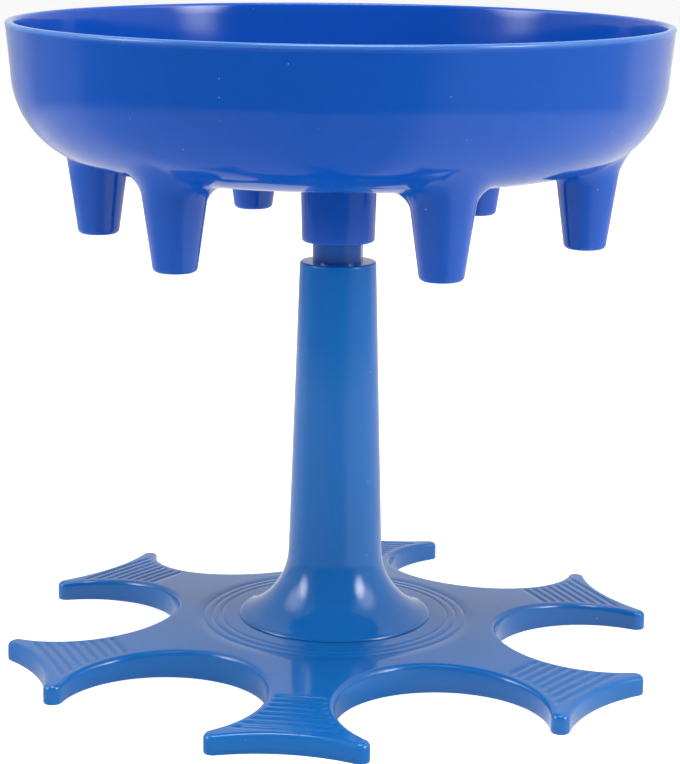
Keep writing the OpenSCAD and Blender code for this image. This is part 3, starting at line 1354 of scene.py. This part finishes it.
    def edge_strip(self, lines: Sequence[RowLine]) -> bpy.types.Object:
        """The rounded edge, the outer wall, the skirt's foot and its inner wall, round one arm.

        Args:
            lines: The lines across half the arm.

        Returns:
            The strip, with the arm along X.
        """
        side = [line.mark for line in lines if line.mark]
        end = [self.tail_mark(share) for share in reversed(shares(self.half_columns)[:-1])]
        one = [(mark, 1.0) for mark in side + end]
        marks = one + [(mark, -1.0) for mark, _ in reversed(one[:-1])]

        # each row: how far inward it lies, and its height as a share of the top's and a rest
        rounding = arc((self.edge, -self.edge), self.edge, math.pi / 2, math.pi, 6)
        rows = [(inset, 1.0, drop) for inset, drop in rounding]
        rows += [(0.0, 0.5, -self.edge / 2)]
        rows += [(inset, 0.0, height) for inset, height in self.skirt_foot]
        rows += [(self.skirt_t, 1.0, -self.plate_t)]

        def place(column: int, row: int) -> Point:
            """The point of the strip for a column and a row."""
            mark, hand = marks[column]
            inset, share, rest = rows[row]
            x, y = mark.at(inset)
            return (x, hand * y, self.top_z(math.hypot(x, y)) * share + rest)

        return woven("plate_edge", len(marks) - 1, len(rows) - 1, place)

    def middle(self) -> bpy.types.Object:
        """The plate's middle, with the collar that holds the column's spigot.

        Returns:
            The middle.
        """
        ceiling, edge = self.plate_z - self.plate_t, self.collar_edge
        outline: list[Flat] = [
            (self.patch_r, self.plate_z),
            (self.collar_in + edge, self.plate_z),
            (self.collar_in, self.plate_z - edge),
            (self.collar_in, edge),
            (self.collar_in + edge, 0.0),
            (self.collar_out - edge, 0.0),
            (self.collar_out, edge),
            (self.collar_out, ceiling),
            (self.patch_r, ceiling),
        ]
        return turned("plate_middle", outline, 2 * self.half_columns * self.arms)

    def rib(self, number: int) -> bpy.types.Object:
        """A thin rib under the plate, along an arm if its number is even, else to a seat.

        Args:
            number: Which of the ribs it is.

        Returns:
            The rib.
        """
        at_seat = number % 2
        ring_r, hole_r = (self.seat_ring_r, self.seat_r) if at_seat else (self.tail_ring_r, self.tail_r)
        first, last = self.collar_out - self.rib_root, ring_r - hole_r - self.rib_end
        clear_selection()
        bpy.ops.mesh.primitive_cube_add(size=1.0)
        rib = bpy.context.object
        rib.name = f"plate_rib_{number}"
        for vertex in rib.data.vertices:
            x = first if vertex.co.x < 0 else last
            y = math.copysign(self.rib_t / 2, vertex.co.y)
            z = 0.0 if vertex.co.z < 0 else self.top_z(x) - self.rib_sunk
            vertex.co = Vector((x, y, z)) * MM
        edit_all()
        bpy.ops.mesh.bevel(offset=self.rib_edge * MM, segments=1)
        bpy.ops.object.mode_set(mode="OBJECT")
        rib.data.transform(Matrix.Rotation(self.half * number, 4, "Z"))
        return rib

    def build(self) -> bpy.types.Object:
        """Models the plate in place of its plain solid.

        Returns:
            The finished plate.
        """
        lines = self.foot_lines() + self.waist_lines() + self.arm_lines()
        lines += self.corner_lines(lines[-1])
        top = self.face("plate_top", self.edge, lines, self.top_at)
        roof = self.face("plate_roof", self.skirt_t, lines, self.roof_at)
        arm = joined("plate_arm", [top, roof, self.edge_strip(lines)])
        ringed(arm, self.arms)
        ribs = [self.rib(k) for k in range(2 * self.arms)]
        plate = joined("foot_plate", [arm, self.middle(), *ribs], 40.0)
        plate.data.transform(Matrix.Rotation(-math.pi / 2, 4, "Z"))
        dress(plate, self.finish.material())
        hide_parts("base_plate")
        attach(plate, Body.STAND.value)
        return plate


# ---------------------------------------------------------------- kept solids


@dataclass
class Spindle:
    """The spindle that the bowl stands on, with its washer and screw inside the column."""

    plastic: MouldedPlastic
    steel: PlatedSteel

    def dress_solids(self) -> None:
        """Gives the three kept solids their finishes."""
        dress(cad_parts["spindle"], self.plastic.material())
        steel = self.steel.material()
        for node in ("retaining_washer", "retaining_screw"):
            dress(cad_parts[node], steel)


# ---------------------------------------------------------------- studio


@dataclass
class Lamp:
    """A soft lamp that looks at the object, with sizes in metres.

    Its cloth is at full strength up to core from its middle, where 0.5 is its edge.
    """

    name: str
    azimuth_deg: float
    height_deg: float
    distance: float
    width: float
    tall: float
    watts: float
    core: float
    target: Point = (0.0, 0.0, 0.08)

    def fade(self, data: bpy.types.AreaLight) -> None:
        """Lets the lamp go dark towards its edges, as a softbox's cloth does.

        Args:
            data: The lamp's data.
        """
        data.use_nodes = True
        links = Links(data.node_tree)
        place = links.add("ShaderNodeNewGeometry").outputs["Parametric"]
        apart = links.measure("DISTANCE", place, (0.5, 0.5, 0.0))
        links.fill(data.node_tree.nodes["Emission"], Strength=links.share(apart, (0.5, self.core)))

    def build(self) -> None:
        """Adds the lamp."""
        a, e = math.radians(self.azimuth_deg), math.radians(self.height_deg)
        back = Vector((math.sin(a) * math.cos(e), -math.cos(a) * math.cos(e), math.sin(e)))
        data = bpy.data.lights.new(self.name, "AREA")
        data.shape = "RECTANGLE"
        data.size, data.size_y = self.width, self.tall
        data.energy = self.watts
        self.fade(data)
        lamp = bpy.data.objects.new(self.name, data)
        lamp.location = Vector(self.target) + back * self.distance
        lamp.rotation_mode = "QUATERNION"
        lamp.rotation_quaternion = (-back).to_track_quat("-Z", "Y")
        bpy.context.scene.collection.objects.link(lamp)


@dataclass
class Studio:
    """The white floor, the white surroundings, the lamps and the camera.

    Walls, table and beyond say what a gloss finds round the room: each entry is a bearing in
    degrees from the camera, to the right, and the level of light there.
    """

    world_level: float = 0.38
    walls: tuple[Level, ...] = ((-180, 0.8), (-60, 0.55), (-42, 0.05), (40, 0.05), (58, 0.75), (180, 0.8))
    table: tuple[Level, ...] = (
        (-180, 1.0),
        (-140, 0.95),
        (-100, 0.9),
        (-82, 0.6),
        (-35, 0.5),
        (-12, 0.35),
        (18, 0.35),
        (32, 0.9),
        (90, 1.0),
        (180, 1.0),
    )
    beyond: tuple[Level, ...] = (
        (-180, 0.6),
        (-132, 0.6),
        (-124, 0.42),
        (-97, 0.42),
        (-90, 0.15),
        (-40, 0.08),
        (26, 0.05),
        (38, 0.4),
        (106, 0.45),
        (114, 0.85),
        (180, 0.8),
    )
    horizon: Span = (-0.03, 0.03)
    table_r: Span = (0.38, 0.6)
    floor_size: float = 6.0
    floor_front: float = -0.5
    floor_lift: float = 0.55
    floor_colour: Colour = (0.93, 0.93, 0.93)
    lamps: tuple[Lamp, ...] = (
        Lamp("left_softbox", -66.0, 22.0, 1.1, 0.6, 0.85, 14.0, 0.05),
        Lamp("right_softbox", 65.0, 22.0, 1.1, 0.6, 0.85, 19.0, 0.05),
        Lamp("left_wash", -82.0, 34.0, 1.3, 1.1, 1.1, 10.5, 0.12),
        Lamp("right_wash", 80.0, 34.0, 1.3, 1.1, 1.1, 10.5, 0.12),
        Lamp("top_softbox", 10.0, 84.0, 1.2, 0.9, 0.9, 23.0, 0.3),
    )
    eye: Point = (76.0, -572.5, 198.6)
    pitch: float = 0.2179
    yaw: float = 0.0026
    roll: float = 0.0112
    turn_deg: float = 7.63
    lens: float = 107.97
    sensor: float = 36.0
    clip: Span = (0.02, 20.0)

    def world(self) -> None:
        """White surroundings, which a gloss finds dim in front, where the camera stands."""
        world = bpy.data.worlds.new("white_room")
        bpy.context.scene.world = world
        world.use_nodes = True
        world.node_tree.nodes.clear()
        links = Links(world.node_tree)
        sky = links.add("ShaderNodeTexCoord").outputs["Generated"]
        height = links.add("ShaderNodeSeparateXYZ", sky).outputs["Z"]
        room = self.crossed(links, sky, links.share(height, self.horizon), self.beyond, self.walls)
        lit, shown, mirrored = (
            links.add("ShaderNodeBackground", WHITE, level).outputs[0]
            for level in (self.world_level, 1.0, room)
        )
        unseen = links.shaded(links.rays(Ray.GLOSSY), lit, mirrored)
        result = links.shaded(links.rays(Ray.CAMERA, Ray.THROUGH), unseen, shown)
        links.add("ShaderNodeOutputWorld", result)

    def crossed(
        self,
        links: Links,
        place: bpy.types.NodeSocket,
        share: Feed,
        first: Sequence[Level],
        last: Sequence[Level],
    ) -> bpy.types.NodeSocket:
        """Goes from one set of levels round the studio to another.

        Args:
            links: The tree that it is added to.
            place: The place or direction that is lit.
            share: How much of the last set there is.
            first: The levels at share 0.
            last: The levels at share 1.

        Returns:
            The level's socket.
        """
        turn = self.bearing(links, place)
        one, other = (self.round_levels(links, turn, levels) for levels in (first, last))
        return links.mixed(Mix.LEVELS, share, one, other)

    def bearing(self, links: Links, place: bpy.types.NodeSocket) -> bpy.types.NodeSocket:
        """How far round the studio a place or a direction lies.

        Args:
            links: The tree that it is added to.
            place: The place or direction.

        Returns:
            The socket: 0 and 1 behind the object, 0.5 where the camera stands.
        """
        turn = math.radians(self.turn_deg)
        ahead = links.measure("DOT_PRODUCT", place, (math.sin(turn), -math.cos(turn), 0.0))
        aside = links.measure("DOT_PRODUCT", place, (math.cos(turn), math.sin(turn), 0.0))
        angle = links.maths("ARCTAN2", aside, ahead)
        return links.maths("MULTIPLY_ADD", angle, 1.0 / math.tau, 0.5)

    def round_levels(
        self, links: Links, turn: bpy.types.NodeSocket, levels: Sequence[Level]
    ) -> bpy.types.NodeSocket:
        """Light levels round the studio.

        Args:
            links: The tree that they are added to.
            turn: The bearing.
            levels: Degrees from the camera, to the right, and the level there.

        Returns:
            The level's socket.
        """
        ramp = links.add("ShaderNodeValToRGB", turn)
        stops = ramp.color_ramp.elements
        for _ in levels[2:]:
            stops.new(0.5)
        for stop, (degrees, level) in zip(stops, levels):
            stop.position = degrees / 360.0 + 0.5
            stop.color = (level, level, level, 1.0)
        return ramp.outputs["Color"]

    def floor(self) -> None:
        """A pale floor that keeps the object's shadow."""
        clear_selection()
        middle = (0, self.floor_front + self.floor_size / 2, 0)
        bpy.ops.mesh.primitive_plane_add(size=self.floor_size, location=middle)
        floor = bpy.context.object
        floor.name = "studio_floor"
        made, links, shader = blank_finish("floor_paper")
        # what the lamps leave short of white is made up where the floor is looked at
        lift = links.maths("MULTIPLY", links.rays(*Ray), self.floor_lift)
        links.fill(
            shader,
            Base_Color=(*self.floor_colour, 1.0),
            Roughness=0.9,
            Specular_IOR_Level=0.1,
            Emission_Color=WHITE,
            Emission_Strength=lift,
        )
        # a gloss finds the floor as bright as the table under the room's walls
        place = links.add("ShaderNodeNewGeometry").outputs["Position"]
        far = links.share(links.measure("LENGTH", place), self.table_r)
        level = self.crossed(links, place, far, self.table, self.beyond)
        table = links.add("ShaderNodeEmission", Strength=level).outputs[0]
        result = links.shaded(links.rays(Ray.GLOSSY), shader.outputs[0], table)
        links.fill(made.node_tree.nodes["Material Output"], result)
        floor.data.materials.append(made)

    def camera(self) -> None:
        """The camera at the photograph's place."""
        turn = Matrix.Rotation(math.radians(self.turn_deg), 3, "Z")
        cy, sy = math.cos(self.yaw), math.sin(self.yaw)
        cp, sp = math.cos(self.pitch), math.sin(self.pitch)
        cr, sr = math.cos(self.roll), math.sin(self.roll)
        ahead = Vector((sy * cp, cy * cp, -sp))
        right = Vector((cy, -sy, 0.0))
        up = right.cross(ahead)
        axes = [turn @ (right * cr + up * sr), turn @ (up * cr - right * sr), turn @ -ahead]
        data = bpy.data.cameras.new("studio_camera")
        data.lens = self.lens
        data.sensor_width = self.sensor
        data.clip_start, data.clip_end = self.clip
        camera = bpy.data.objects.new("studio_camera", data)
        camera.rotation_mode = "QUATERNION"
        camera.rotation_quaternion = Matrix(axes).transposed().to_quaternion()
        camera.location = Vector(self.eye) * MM
        bpy.context.scene.collection.objects.link(camera)
        bpy.context.scene.camera = camera

    def build(self) -> None:
        """Builds the whole studio."""
        bpy.context.scene.view_settings.view_transform = "Standard"
        self.world()
        self.floor()
        for lamp in self.lamps:
            lamp.build()
        self.camera()


BOWL_BLUE = MouldedPlastic(
    "bowl_plastic",
    (0.004, 0.079, 0.425),
    roughness=0.09,
    depth=0.25,
    dust=0.4,
    waves=0.25,
    # painted glow on the bowl's thin rim, lighter than the plastic
    painted_glow_colour=(0.035, 0.165, 0.5),
    edge_z=(161.8, 162.2),
    edge_r=(81.8, 82.2),
)
STAND_BLUE = MouldedPlastic("stand_plastic", (0.008, 0.135, 0.43), 0.1, 0.25, 0.3, 0.25)
SPINDLE_BLUE = MouldedPlastic("spindle_plastic", (0.014, 0.085, 0.34), 0.2, 0.25, 0.2, 0.2)
BRIGHT_STEEL = PlatedSteel("bright_steel", (0.62, 0.63, 0.66), 0.25)


def main() -> None:
    """Builds the object and the studio, in order, and reports each piece."""
    logging.basicConfig(level=logging.INFO, format="%(name)s: %(message)s")
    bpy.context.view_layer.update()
    for moulding in (Bowl(BOWL_BLUE), Column(STAND_BLUE), FootPlate(STAND_BLUE)):
        piece = moulding.build()
        log.info("%s: %d faces", piece.name, len(piece.data.polygons))
    Spindle(SPINDLE_BLUE, BRIGHT_STEEL).dress_solids()
    log.info("spindle, washer and screw dressed")
    studio = Studio()
    studio.build()
    log.info("studio: %d lamps", len(studio.lamps))


if __name__ == "__main__":
    main()
